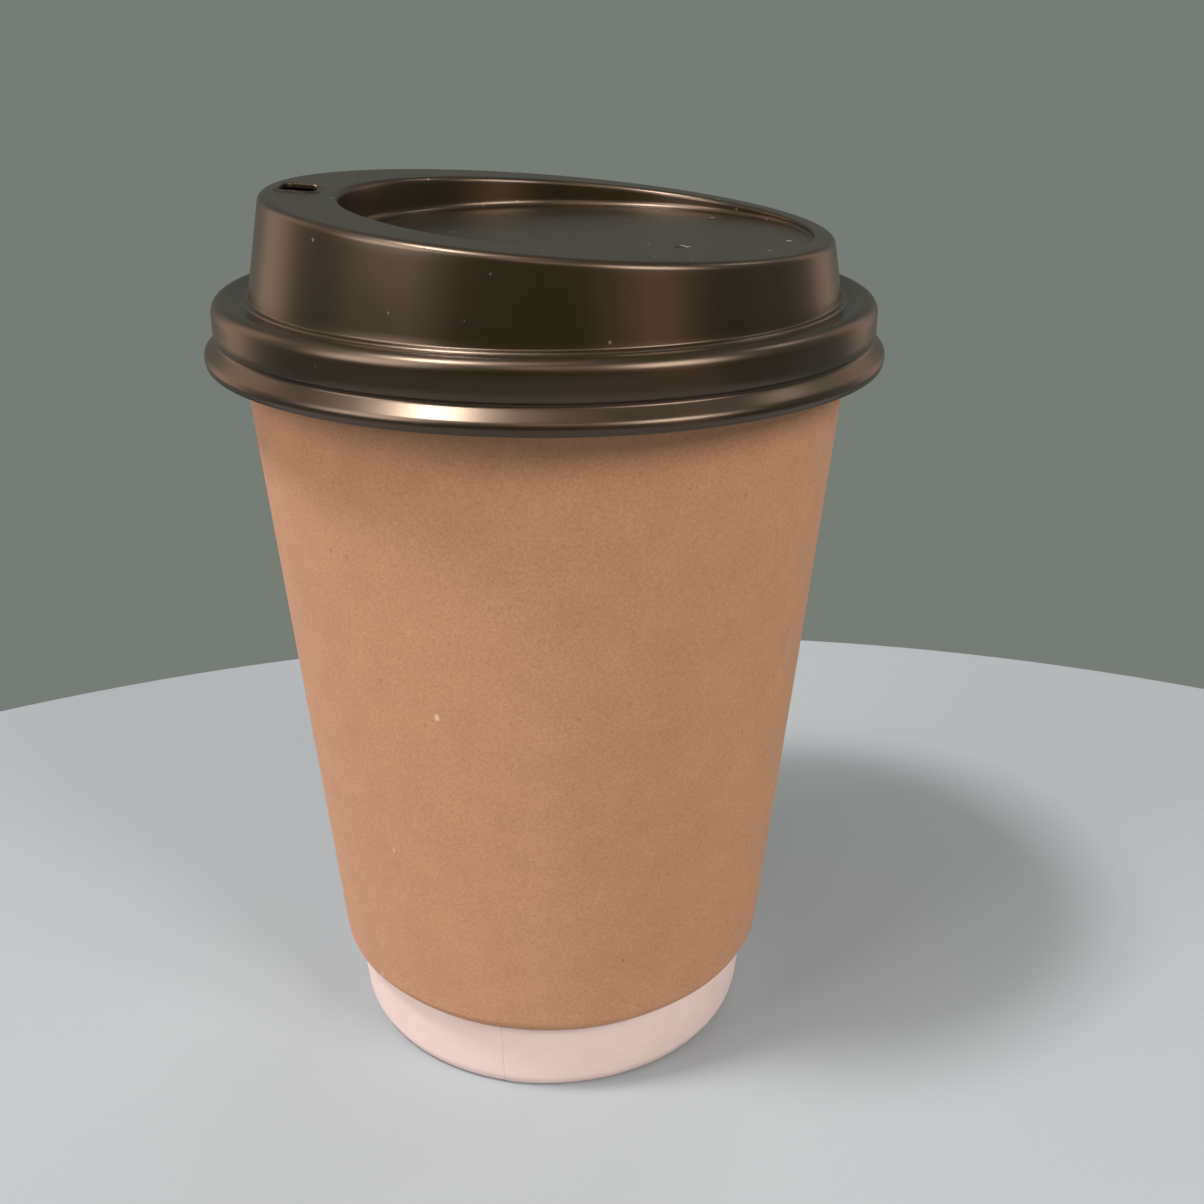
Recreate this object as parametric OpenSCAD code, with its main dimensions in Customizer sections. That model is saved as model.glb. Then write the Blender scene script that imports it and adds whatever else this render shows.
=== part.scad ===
// Double-wall paper cup for hot drinks with a press-on sip-through lid.
// The origin is on the table under the middle of the foot, +Z is up, millimetres.

/* [Cup] */
// Outside diameter of the rolled rim
rim_dia = 90; // [86:0.5:94]
// Height from the table to the top of the rolled rim
cup_height = 115.1; // [95:0.1:130]
// Outside diameter of the cup wall just above the tucked-in foot
foot_dia = 63; // [59:0.5:66]
// Thickness of the paperboard
board_t = 0.35; // [0.3:0.01:0.45]
// Outside diameter of the rolled rim's tube
roll_dia = 2.8; // [2.4:0.1:3.2]
// Angle through which the rim is rolled, in degrees
roll_turn = 300; // [270:5:310]
// Radius of the tucked-in edge of the foot
foot_tuck_r = 4; // [3:0.5:5]
// Radius of the tight fold the cup stands on
foot_fold_r = 0.45; // [0.4:0.05:0.6]
// Height to which the wall is folded back up inside the foot
foot_fold_height = 5.2; // [4.5:0.1:5.6]
// Width of the glued lap of the side seam
cup_lap = 7; // [5:0.5:9]
// Angle around the cup at which the side seam lies, in degrees
cup_seam_angle = 256; // [0:1:359]

/* [Base] */
// Height of the underside of the base disc above the table
base_rise = 6.5; // [6:0.1:9]
// Radius of the bend between the base disc and its skirt
base_bend_r = 0.8; // [0.6:0.1:1.2]
// Height of the lower edge of the base skirt above the table
base_skirt_height = 2.6; // [2.4:0.1:3.2]

/* [Outer wrap] */
// Space between the wrap and the cup wall just above the hem
wrap_gap = 1.27; // [0.8:0.01:2.4]
// Height of the top of the curved hem above the table
hem_top = 14.9; // [13:0.1:25]
// Outside radius of the curved hem
hem_r = 2.8; // [2.4:0.1:3.4]
// Space between the turned-in hem and the cup wall
hem_gap = 0.05; // [0.02:0.01:0.2]
// Distance from the top of the rim down to the top of the wrap
wrap_drop = 3.5; // [3.4:0.1:6]
// Height of the glued band at the top, where the wrap lies on the cup wall
glue_band = 4; // [2:0.5:8]
// Width of the glued lap of the wrap
wrap_lap = 10; // [6:0.5:14]
// Angle around the cup at which the lap of the wrap lies, in degrees
wrap_seam_angle = 118; // [0:1:359]

/* [Lid fit] */
// Thickness of the formed plastic sheet
lid_t = 0.45; // [0.35:0.05:0.6]
// Space between the top of the rim and the underside of the lid
seat_gap = 0.2; // [0.15:0.05:0.4]
// Space outside the rim within the shoulder of the lid
shoulder_gap = 0.45; // [0.35:0.05:0.7]
// Space outside the rim within the snap bead of the lid
snap_gap = 0.2; // [0.15:0.05:0.3]
// Height of the snap bead above the lower edge of the skirt
snap_height = 3.7; // [3.5:0.1:4.4]
// Angle by which the lid is turned on the cup, in degrees
lid_turn = -13; // [-180:1:180]

/* [Lid ring] */
// Distance from the top of the lid's shoulder down to the skirt's edge
skirt_drop = 8.4; // [8:0.1:9.4]
// Distance by which the bulge of the skirt stands outside the rim
skirt_flare = 2.3; // [2.1:0.1:3]
// Outside radius of the bulge of the skirt
bulge_r = 1.6; // [1.4:0.1:1.9]
// Height of the widest part of the bulge above the skirt's edge
bulge_height = 1.1; // [0.8:0.1:1.4]
// Radius of the groove that forms the snap bead
groove_r = 0.4; // [0.3:0.1:0.7]
// Outside radius of the rounded shoulder
shoulder_r = 1.8; // [1.6:0.1:2.4]
// Depth of the shallow valley inside the shoulder
valley_depth = 0.4; // [0.3:0.05:0.45]
// Width of the ledge around the foot of the dome
ledge_w = 0.8; // [0.6:0.1:1.2]
// Height of the ledge above the valley
ledge_height = 0.3; // [0.2:0.05:0.4]

/* [Lid dome] */
// Distance from the outside of the rim in to the foot of the dome
dome_inset = 4.1; // [3.9:0.1:6]
// Height of the middle of the dome above the ledge
dome_rise = 10.7; // [9.5:0.1:14]
// Lean of the dome wall, in degrees
dome_lean = 10.5; // [6:0.5:14]
// Outside radius of the rounded top edge of the dome
dome_edge_r = 1.1; // [0.9:0.1:1.6]
// Slope of the top of the dome, in degrees
top_slope = 4.25; // [3:0.05:5]

/* [Drinking well] */
// Width of the top of the dome beside the well, on the side away from the sip hole
well_margin = 2.1; // [2:0.1:4]
// Distance from the axis of the cup to the axis of the well
well_offset = 4.5; // [4:0.1:5.5]
// Depth of the floor of the well below the middle of the dome's top
well_depth = 3.5; // [3.3:0.1:5]
// Draft of the wall of the well, in degrees
well_draft = 3; // [2:0.5:6]
// Radius of the rounded upper edge of the well
well_edge_r = 0.9; // [0.7:0.1:1.2]
// Radius between the wall and the floor of the well
well_floor_r = 1.2; // [0.9:0.1:1.6]
// Distance from the upper edge of the dome in to the middle of the sip hole
sip_inset = 5.3; // [5:0.1:5.8]
// Angle from the highest side of the dome to the sip hole, in degrees
sip_angle = 12; // [-20:1:20]
// Width of the sip hole across the dome's edge
sip_w = 5; // [4.6:0.1:5.4]
// Length of the sip hole along the dome's edge
sip_length = 7; // [6:0.5:12]
// Corner radius of the sip hole
sip_r = 1.2; // [1:0.1:2]
// Width of the raised lip around the sip hole
lip_w = 0.7; // [0.5:0.1:0.8]
// Height of the raised lip above the top of the dome
lip_rise = 0.3; // [0.2:0.1:0.5]
// Diameter of the vent hole in the floor of the well
vent_dia = 0.8; // [0.6:0.1:1.5]
// Distance from the axis of the cup to the vent hole
vent_offset = 21; // [0:0.5:26]
// Angle from the far side of the sip hole to the vent hole, in degrees
vent_angle = -22; // [-60:1:60]

/* [Hidden] */
$fn = 120;
// Length by which a cutting shape passes the face that it cuts
past = 1;
// Steps in a rounded edge or bend
bend_steps = 8;

// Cup wall: a cone between the foot and the rolled rim
rim_r = rim_dia / 2;
roll_r = roll_dia / 2;
roll_z = cup_height - roll_r;
wall_top_r = rim_r - roll_dia + board_t;
foot_r = foot_dia / 2;
wall_lean = atan((wall_top_r - foot_r) / (roll_z - foot_tuck_r / 2));
wall_run = board_t / cos(wall_lean);

// Outer radius of the cup wall at a height
function wall_r(z) = foot_r + (z - foot_tuck_r / 2) * tan(wall_lean);

// Points on an arc round c from angle a to angle b
function arc(c, r, a, b) =
    [for (i = [0:bend_steps]) let (w = a + (b - a) * i / bend_steps)
        [c[0] + r * cos(w), c[1] + r * sin(w)]];

// Unit vector along piece i of a path
function along(p, i) = (p[i + 1] - p[i]) / norm(p[i + 1] - p[i]);

// The path moved sideways by d, to its left where d is above zero
function beside(p, d) =
    [for (i = [0:len(p) - 1])
        let (a = along(p, max(i - 1, 0)), b = along(p, min(i, len(p) - 2)))
        let (m = [-a[1] - b[1], a[0] + b[0]] / norm(a + b))
        p[i] + m * d / (m * [-a[1], a[0]])];

function backwards(p) = [for (i = [len(p) - 1:-1:0]) p[i]];

// Closed outline of a sheet of thickness t whose middle follows the path
function sheet(p, t) = concat(beside(p, t / 2), backwards(beside(p, -t / 2)));

// Foot: the wall turns in, folds tightly, stands on the flat of the fold and comes back up inside
// Half of the arc of the fold that is pressed flat on the table, in degrees
stand_half = 9;
fold_z = foot_fold_r * cos(stand_half) + board_t / 2;
// Angle at which the tight fold passes into the wider tuck, in degrees
tuck_start = -35;
tuck_end = -wall_lean;
// Angle left out where one arc follows another, in degrees
arc_skip = 6;
tuck_z = fold_z + foot_fold_r * sin(tuck_start) + foot_tuck_r * (sin(tuck_end) - sin(tuck_start));
tuck_run = foot_fold_r * cos(tuck_start) + foot_tuck_r * (cos(tuck_end) - cos(tuck_start));
stand_r = wall_r(tuck_z) - wall_run / 2 - tuck_run;
fold_c = [stand_r, fold_z];
tuck_c = fold_c + (foot_fold_r - foot_tuck_r) * [cos(tuck_start), sin(tuck_start)];
// Space between the base skirt and the wall folded up inside it
fold_gap = 0.05;
roll_c = [rim_r - roll_r, roll_z];

cup_path = concat(
    [[wall_r(foot_fold_height) - 2.5 * wall_run - fold_gap, foot_fold_height]],
    [[wall_r(base_skirt_height) - 2.5 * wall_run - fold_gap, base_skirt_height]],
    arc(fold_c, foot_fold_r, -180, -90 - stand_half),
    arc(fold_c, foot_fold_r, -90 + stand_half, tuck_start),
    arc(tuck_c, foot_tuck_r, tuck_start + arc_skip, tuck_end),
    arc(roll_c, roll_r - board_t / 2, 180, 180 - roll_turn / 2),
    arc(roll_c, roll_r - board_t / 2, 180 - roll_turn / 2 - arc_skip, 180 - roll_turn));

module inner_cup() {
    color([0.93, 0.9, 0.87]) {
        rotate_extrude()
            polygon(sheet(cup_path, board_t));
        cup_seam();
    }
}

// Second layer of board where the ends of the wall overlap, on the inside
module cup_seam() {
    low = base_rise + 2 * board_t;
    high = roll_z - roll_r;
    turn = cup_lap / foot_r * 180 / PI;
    rotate([0, 0, cup_seam_angle])
        rotate_extrude(angle = turn)
            polygon([
                [wall_r(low) - 2 * wall_run, low],
                [wall_r(low) - wall_run / 2, low],
                [wall_r(high) - wall_run / 2, high],
                [wall_r(high) - 2 * wall_run, high]]);
}

// Base disc with its skirt turned down between the wall and the fold
bend_z = base_rise + board_t / 2 - base_bend_r;
bend_c = [wall_r(bend_z) - 1.5 * wall_run - base_bend_r / cos(wall_lean), bend_z];
base_path = concat(
    [[0, base_rise + board_t / 2]],
    arc(bend_c, base_bend_r, 90, -wall_lean),
    [[wall_r(base_skirt_height) - 1.5 * wall_run, base_skirt_height]]);

module base_disc() {
    color([0.91, 0.88, 0.84])
        rotate_extrude()
            polygon(sheet(base_path, board_t));
}

// Outer wrap: a wider cone, glued to the cup under the rim, with a hem turned in at the bottom
wrap_top = cup_height - wrap_drop;
wrap_lift = wrap_top - glue_band;
wrap_mid_r = wall_r(hem_top) + wrap_gap + board_t / 2;
hem_c = [wrap_mid_r + board_t / 2 - hem_r, hem_top];
hem_turn = acos((wall_r(hem_top - hem_r) + hem_gap - hem_c[0]) / (hem_r - board_t));
wrap_path = concat(
    [[wall_r(wrap_top) + wall_run / 2, wrap_top]],
    [[wall_r(wrap_lift) + wall_run / 2, wrap_lift]],
    arc(hem_c, hem_r - board_t / 2, 0, -hem_turn));

module outer_wrap() {
    color([0.72, 0.56, 0.44]) {
        rotate_extrude()
            polygon(sheet(wrap_path, board_t));
        wrap_seam();
    }
}

// Second layer of the wrap where its ends overlap, on the outside
module wrap_seam() {
    turn = wrap_lap / wrap_mid_r * 180 / PI;
    rotate([0, 0, wrap_seam_angle])
        rotate_extrude(angle = turn)
            polygon([
                [wrap_mid_r, hem_top],
                [wrap_mid_r + 1.5 * board_t, hem_top],
                [wall_r(wrap_lift) + 2 * wall_run, wrap_lift],
                [wall_r(wrap_lift) + wall_run / 2, wrap_lift]]);
}

// Lid ring: skirt, bulge, snap bead, shoulder, valley and ledge
crown_z = cup_height + seat_gap + lid_t;
skirt_z = crown_z - skirt_drop;
// Angle by which the skirt curls in below the middle of the bulge, in degrees
skirt_curl = 30;
bulge_c = [rim_r + skirt_flare - bulge_r, skirt_z + bulge_height];
snap_mid_r = rim_r + snap_gap + lid_t / 2;
bulge_mid_r = bulge_r - lid_t / 2;
groove_mid_r = groove_r + lid_t / 2;
groove_c = [snap_mid_r + groove_mid_r, skirt_z + snap_height];
groove_way = groove_c - bulge_c;
bulge_turn = atan2(groove_way[1], groove_way[0]) - acos((bulge_mid_r + groove_mid_r) / norm(groove_way));
// Slope of the sheet from the groove out to the shoulder, in degrees
groove_slope = 60;
groove_end = groove_c + groove_mid_r * [-sin(groove_slope), cos(groove_slope)];
shoulder_mid_r = shoulder_r - lid_t / 2;
shoulder_c = [rim_r + shoulder_gap + lid_t - shoulder_r, crown_z - shoulder_r];
shoulder_run = shoulder_c[0] + shoulder_mid_r - groove_end[0];
dome_r = rim_r - dome_inset;
ledge_z = crown_z - valley_depth + ledge_height;
// Radius of the tightest bends, at the middle of the sheet
bend_r = 0.6 * lid_t;
// Ledge and valley: two bends that meet where both have turned by ledge_turn
ledge_turn = acos(1 - ledge_height / (2 * bend_r));
ledge_c = [dome_r + ledge_w - lid_t / 2 - bend_r, ledge_z - lid_t / 2 - bend_r];
valley_c = ledge_c + 2 * bend_r * [sin(ledge_turn), cos(ledge_turn)];
valley_way = valley_c - shoulder_c;
valley_turn = atan2(valley_way[1], valley_way[0]) - acos((shoulder_mid_r + bend_r) / norm(valley_way));
ring_path = concat(
    arc(bulge_c, bulge_mid_r, -skirt_curl, bulge_turn),
    arc(groove_c, groove_mid_r, bulge_turn + 180, 90 + groove_slope),
    [groove_end + shoulder_run * [1, tan(groove_slope)]],
    arc(shoulder_c, shoulder_mid_r, 0, valley_turn),
    arc(valley_c, bend_r, valley_turn - 180, -90 - ledge_turn),
    arc(ledge_c, bend_r, 90 - ledge_turn, 90),
    [[0, ledge_z - lid_t / 2]]);

// Lid dome: a level cone under a sloping cap, whose heights count from the middle of the top
slope = tan(top_slope);
// Angle by which the arc of a rounded edge passes the wall below it, in degrees
round_past = 12;
// Angle by which the arc of the well's edge stops short of the flat top, in degrees
round_short = 8;
top_z = ledge_z + dome_rise;
dome_foot_z = ledge_z - past;
dome_high_z = top_z + slope * dome_r + past;
dome_top_r = dome_r - dome_rise * tan(dome_lean);
dome_shift = dome_top_r * tan(dome_lean) * slope;
edge_stop = dome_lean + round_past;
edge_run = dome_edge_r * (1 - sin(dome_lean)) / cos(dome_lean);
edge_mid_r = dome_edge_r - lid_t / 2;
edge_c = [dome_top_r - edge_run - lid_t / 2, -dome_edge_r];
edge_out = 4 * dome_edge_r * [sin(edge_stop), -cos(edge_stop)];
wall_path = [
    [dome_r + past * tan(dome_lean) - lid_t / 2, dome_foot_z],
    [dome_r - (dome_high_z - ledge_z) * tan(dome_lean) - lid_t / 2, dome_high_z]];
cap_path = concat(
    [edge_c + edge_mid_r * [cos(edge_stop), sin(edge_stop)] + edge_out],
    arc(edge_c, edge_mid_r, edge_stop, 90),
    [[0, -lid_t / 2]]);

// Drinking well: level floor and wall, cut at the top by a sloping edge with a round
floor_z = top_z - well_depth;
well_r = dome_top_r - well_offset - well_margin;
well_high = well_depth + slope * dome_r + past;
well_floor_c = [
    well_r - (well_depth - well_floor_r) * tan(well_draft) - well_floor_r / cos(well_draft),
    well_floor_r];
well_edge_c = [well_r + well_edge_r * (1 - tan(well_draft)), -well_edge_r];
well_shift = well_r * tan(well_draft) * slope;

// Level outline of the well, larger by g
function well_level(g) = concat(
    [[0, -g]],
    arc(well_floor_c, well_floor_r + g, -90, -well_draft),
    [[well_r + (well_high - well_depth) * tan(well_draft) + g / cos(well_draft), well_high]],
    [[0, well_high]]);

// Outline that rounds the edge of the well, larger by g
function well_edge(g) = concat(
    [[0, -2 * well_high], [well_edge_c[0] + well_high, -2 * well_high]],
    backwards(arc(well_edge_c, well_edge_r - g, 90 + round_short, 180 + well_draft + round_past)),
    [[well_edge_c[0] + 2 * well_high, well_high], [0, well_high]]);

// Moves a level shape onto the sloping top, dx along it from the axis of the cup
module on_top(dx)
    translate([0, 0, top_z])
        rotate([0, top_slope, 0])
            translate([dx / cos(top_slope), 0, 0])
                children();

// Well as a solid, larger by g all round
module well(g) {
    intersection() {
        translate([well_offset, 0, floor_z])
            rotate_extrude()
                polygon(well_level(g));
        on_top(well_offset - well_shift)
            rotate_extrude()
                polygon(well_edge(g));
    }
}

// Ring of the lid as a solid down to low, bounded by the sheet's face at depth g
module ring(g, low) {
    face = beside(ring_path, g - lid_t / 2);
    rotate_extrude()
        polygon(concat([[0, low], [face[0][0], low]], face));
}

// Dome as a solid bounded by the sheet's face at depth g
module dome(g) {
    wall = beside(wall_path, g - lid_t / 2);
    cap = beside(cap_path, g - lid_t / 2);
    intersection() {
        rotate_extrude()
            polygon(concat([[0, dome_foot_z]], wall, [[0, dome_high_z]]));
        on_top(dome_shift)
            rotate_extrude()
                polygon(concat([[0, -2 * dome_rise], [cap[0][0], -2 * dome_rise]], cap));
    }
}

// Whole lid as a solid down to low, bounded by the sheet's face at depth g
module lid_body(g, low) {
    difference() {
        union() {
            ring(g, low);
            dome(g);
        }
        well(g);
    }
}

// Outline of the sip hole, larger by g all round
function sip_outline(g) = let (x = sip_w / 2 - sip_r, y = sip_length / 2 - sip_r) concat(
    arc([x, y], sip_r + g, 0, 90),
    arc([-x, y], sip_r + g, 90, 180),
    arc([-x, -y], sip_r + g, 180, 270),
    arc([x, -y], sip_r + g, 270, 360));

// Places a shape on the sloping top over the sip hole
module at_sip_hole()
    on_top(0)
        rotate([0, 0, sip_angle])
            translate([sip_inset - dome_top_r, 0, 0])
                children();

module lid() {
    color([0.17, 0.13, 0.1])
        rotate([0, 0, lid_turn])
            difference() {
                union() {
                    difference() {
                        lid_body(0, skirt_z);
                        lid_body(lid_t, skirt_z - past);
                    }
                    at_sip_hole()
                        translate([0, 0, -lid_t / 2])
                            linear_extrude(lid_t / 2 + lip_rise)
                                polygon(sip_outline(lip_w));
                }
                at_sip_hole()
                    translate([0, 0, -2 * past])
                        linear_extrude(4 * past)
                            polygon(sip_outline(0));
                rotate([0, 0, vent_angle])
                    translate([vent_offset, 0, floor_z - past])
                        cylinder(d = vent_dia, h = 2 * past);
            }
}

inner_cup();
base_disc();
outer_wrap();
lid();
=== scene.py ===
import bpy
import numpy as np
from mathutils import Matrix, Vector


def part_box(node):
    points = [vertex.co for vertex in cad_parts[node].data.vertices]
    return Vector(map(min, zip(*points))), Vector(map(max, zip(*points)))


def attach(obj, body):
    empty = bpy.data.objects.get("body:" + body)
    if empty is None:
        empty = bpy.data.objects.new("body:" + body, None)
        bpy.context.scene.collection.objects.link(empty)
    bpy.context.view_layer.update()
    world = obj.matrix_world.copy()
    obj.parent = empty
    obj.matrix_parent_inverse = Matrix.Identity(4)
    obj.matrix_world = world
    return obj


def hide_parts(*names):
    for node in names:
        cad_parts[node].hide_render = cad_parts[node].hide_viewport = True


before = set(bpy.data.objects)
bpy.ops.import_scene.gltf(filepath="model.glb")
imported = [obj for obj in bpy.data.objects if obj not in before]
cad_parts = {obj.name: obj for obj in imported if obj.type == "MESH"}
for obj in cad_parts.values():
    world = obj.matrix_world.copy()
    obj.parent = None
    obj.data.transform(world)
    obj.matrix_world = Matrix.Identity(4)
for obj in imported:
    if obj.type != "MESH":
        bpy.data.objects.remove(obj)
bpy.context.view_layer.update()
mm = 0.001  # lengths below are in millimetres and become metres when a mesh is made
sheetRound, sheetUnit = 2.4, 100  # the sheets' own coordinates: their length round the cup, and mm to 1
print("frame:", ", ".join(sorted(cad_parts)))

# sizes that the pieces share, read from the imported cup
cupLow, cupHigh = [np.array(c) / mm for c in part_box("inner_cup")]
rimRadius = (cupHigh[0] - cupLow[0]) / 2
cupHeight = cupHigh[2]


# mesh helpers
def unit(degrees):
    # unit vector (cos a, sin a)
    return np.array([np.cos(np.radians(degrees)), np.sin(np.radians(degrees))])


def arcPoints(centre, radius, start, stop, count):
    # points on a circle: centre + radius * (cos a, sin a), with a from start to stop in degrees
    a = np.radians(np.linspace(start, stop, count))
    return np.stack([centre[0] + radius * np.cos(a), centre[1] + radius * np.sin(a)], axis=-1)


def linePoints(a, b, count):
    # a * (1 - w) + b * w at equal steps of w, without the two ends
    w = np.linspace(0, 1, count + 2)[1:-1, None]
    return np.asarray(a) * (1 - w) + np.asarray(b) * w


def offsetPath(path, d):
    # p + d * m / (m . n): m is the mitre of the left normals on both sides of p, n the one before it
    step = np.diff(path, axis=0)
    step /= np.linalg.norm(step, axis=1, keepdims=True)
    before = np.vstack([step[:1], step])
    after = np.vstack([step, step[-1:]])
    mid = before + after
    mid /= np.linalg.norm(mid, axis=1, keepdims=True)
    normal = np.stack([-mid[:, 1], mid[:, 0]], axis=-1)
    spread = np.sum(normal * np.stack([-before[:, 1], before[:, 0]], axis=-1), axis=1)
    return path + normal * (d / spread)[:, None]


def sheetLoop(path, thickness):
    # closed section of a sheet: the path moved half the thickness left, and back along it moved right
    left = offsetPath(path, thickness / 2)
    right = offsetPath(path, -thickness / 2)
    return np.vstack([left, right[::-1]])


def gridQuads(rows, cols, closeRows=False):
    # vertex (i, j) has number i * cols + j; a face joins (i, j), (i, j+1), (i+1, j+1) and (i+1, j)
    i = np.arange(rows if closeRows else rows - 1)
    i, j = np.meshgrid(i, np.arange(cols), indexing="ij")
    i1, j1 = (i + 1) % rows, (j + 1) % cols
    return np.stack([i * cols + j, i * cols + j1, i1 * cols + j1, i1 * cols + j], axis=-1).reshape(-1, 4)


def revolve(loop, columns, shift=None):
    # the closed section carried round the axis: (r cos a, r sin a, z), with r and z changed by shift;
    # the sheet's own coordinates are u = sheetRound * a / 2 pi and v = z / sheetUnit
    a = np.radians(np.linspace(0, 360, columns, endpoint=False))
    r = np.broadcast_to(loop[:, :1], (len(loop), columns)).copy()
    z = np.broadcast_to(loop[:, 1:], (len(loop), columns)).copy()
    if shift is not None:
        r, z = shift(np.degrees(a)[None, :], r, z)
    points = np.stack([r * np.cos(a), r * np.sin(a), z], axis=-1).reshape(-1, 3)
    around = np.broadcast_to(a / (2 * np.pi), r.shape) * sheetRound
    uv = np.stack([around, z / sheetUnit], axis=-1).reshape(-1, 2)
    return points, gridQuads(len(loop), columns, closeRows=True), uv


def makePiece(name, points, faces, material, body, nodes, uv, sharpAngle=50):
    # a finished piece: vertices in metres in the shared frame, smooth where faces meet at less than
    # sharpAngle; it rides on a body and stands for CAD nodes
    mesh = bpy.data.meshes.new(name)
    mesh.from_pydata((np.asarray(points) * mm).tolist(), [], faces)
    mesh.validate()
    mesh.polygons.foreach_set("use_smooth", np.ones(len(mesh.polygons), dtype=bool))
    mesh.set_sharp_from_angle(angle=np.radians(sharpAngle))
    corner = np.zeros(len(mesh.loops), dtype=np.int32)
    mesh.loops.foreach_get("vertex_index", corner)
    layer = mesh.uv_layers.new(name="surface")
    layer.data.foreach_set("uv", uv[corner].astype(np.float32).ravel())
    mesh.materials.append(material)
    piece = bpy.data.objects.new(name, mesh)
    bpy.context.scene.collection.objects.link(piece)
    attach(piece, body)
    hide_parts(*nodes)


# material helpers
def newMaterial(name, roughness, specular):
    # one principled surface with a roughness and a strength of reflection
    material = bpy.data.materials.new(name)
    material.use_nodes = True
    tree = material.node_tree
    shader = tree.nodes["Principled BSDF"]
    shader.inputs["Roughness"].default_value = roughness
    shader.inputs["Specular IOR Level"].default_value = specular
    return material, tree, shader


def link(tree, a, b):
    # output a feeds input b
    tree.links.new(a, b)


def feed(tree, socket, value):
    # an input takes another node's output, or a fixed value
    if hasattr(value, "is_output"):
        link(tree, value, socket)
    else:
        socket.default_value = value


def noiseNode(tree, vector, scale, detail, roughness):
    # smooth noise from 0 to 1 with scale waves to the metre
    node = tree.nodes.new("ShaderNodeTexNoise")
    node.inputs["Scale"].default_value = scale
    node.inputs["Detail"].default_value = detail
    node.inputs["Roughness"].default_value = roughness
    link(tree, vector, node.inputs["Vector"])
    return node.outputs["Fac"]


def rampNode(tree, value, stops):
    # colours blended in straight steps between the stops along a value
    node = tree.nodes.new("ShaderNodeValToRGB")
    ramp = node.color_ramp
    while len(ramp.elements) < len(stops):
        ramp.elements.new(0.5)
    for element, (place, colour) in zip(ramp.elements, stops):
        element.position = place
        element.color = (*colour, 1)
    link(tree, value, node.inputs["Fac"])
    return node.outputs["Color"]


def mixNode(tree, factor, a, b, blend="MIX"):
    # a * (1 - factor) + b * factor, or another blend of the two
    node = tree.nodes.new("ShaderNodeMix")
    node.data_type = "RGBA"
    node.blend_type = blend
    for place, value in ((0, factor), (6, a), (7, b)):
        feed(tree, node.inputs[place], value)
    return node.outputs[2]


def mathNode(tree, operation, a, b=0.0):
    # one operation on two values
    node = tree.nodes.new("ShaderNodeMath")
    node.operation = operation
    feed(tree, node.inputs[0], a)
    feed(tree, node.inputs[1], b)
    return node.outputs[0]


def rangeNode(tree, value, low, high, outLow=0.0, outHigh=1.0):
    # low..high mapped in a straight line onto outLow..outHigh and held at both ends
    node = tree.nodes.new("ShaderNodeMapRange")
    node.inputs["From Min"].default_value = low
    node.inputs["From Max"].default_value = high
    node.inputs["To Min"].default_value = outLow
    node.inputs["To Max"].default_value = outHigh
    link(tree, value, node.inputs["Value"])
    return node.outputs["Result"]


def bumpNode(tree, height, distance, strength, shader):
    # the normal leans by the slope of height * distance
    node = tree.nodes.new("ShaderNodeBump")
    node.inputs["Distance"].default_value = distance
    node.inputs["Strength"].default_value = strength
    link(tree, height, node.inputs["Height"])
    link(tree, node.outputs["Normal"], shader.inputs["Normal"])


def stretched(tree, vector, scale, turn=0.0):
    # coordinates multiplied by scale, then turned round z by turn degrees
    node = tree.nodes.new("ShaderNodeMapping")
    node.inputs["Scale"].default_value = scale
    node.inputs["Rotation"].default_value = (0, 0, np.radians(turn))
    link(tree, vector, node.inputs["Vector"])
    return node.outputs["Vector"]


def fleckNode(tree, vector, scale, reach, core, channel, cut, depth):
    # scattered dots: depth within core of a cell's middle, 0 past reach, only in the few cells whose
    # random channel is over cut
    cells = tree.nodes.new("ShaderNodeTexVoronoi")
    cells.inputs["Scale"].default_value = scale
    link(tree, vector, cells.inputs["Vector"])
    near = rangeNode(tree, cells.outputs["Distance"], reach, core)
    split = tree.nodes.new("ShaderNodeSeparateColor")
    link(tree, cells.outputs["Color"], split.inputs["Color"])
    chosen = mathNode(tree, "GREATER_THAN", split.outputs[channel], cut)
    return mathNode(tree, "MULTIPLY", near, mathNode(tree, "MULTIPLY", chosen, depth))


def spotNode(tree, vector, spot):
    # 1 inside and 0 outside an ellipsoid: |(p - middle) / half sizes|, from 1.2 down to 0.7
    x, y, z, halfX, halfY, halfZ = np.array(spot) * mm
    offset = tree.nodes.new("ShaderNodeVectorMath")
    offset.operation = "SUBTRACT"
    offset.inputs[1].default_value = (x, y, z)
    link(tree, vector, offset.inputs[0])
    reach = tree.nodes.new("ShaderNodeVectorMath")
    reach.operation = "LENGTH"
    link(tree, stretched(tree, offset.outputs["Vector"], (1 / halfX, 1 / halfY, 1 / halfZ)), reach.inputs[0])
    return rangeNode(tree, reach.outputs["Value"], 1.2, 0.7)


def objectVector(tree):
    # the piece's own coordinates in metres
    return tree.nodes.new("ShaderNodeTexCoord").outputs["Object"]


def surfaceVector(tree):
    # coordinates along the sheet, round it and up it
    node = tree.nodes.new("ShaderNodeUVMap")
    node.uv_map = "surface"
    return node.outputs["UV"]


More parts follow.
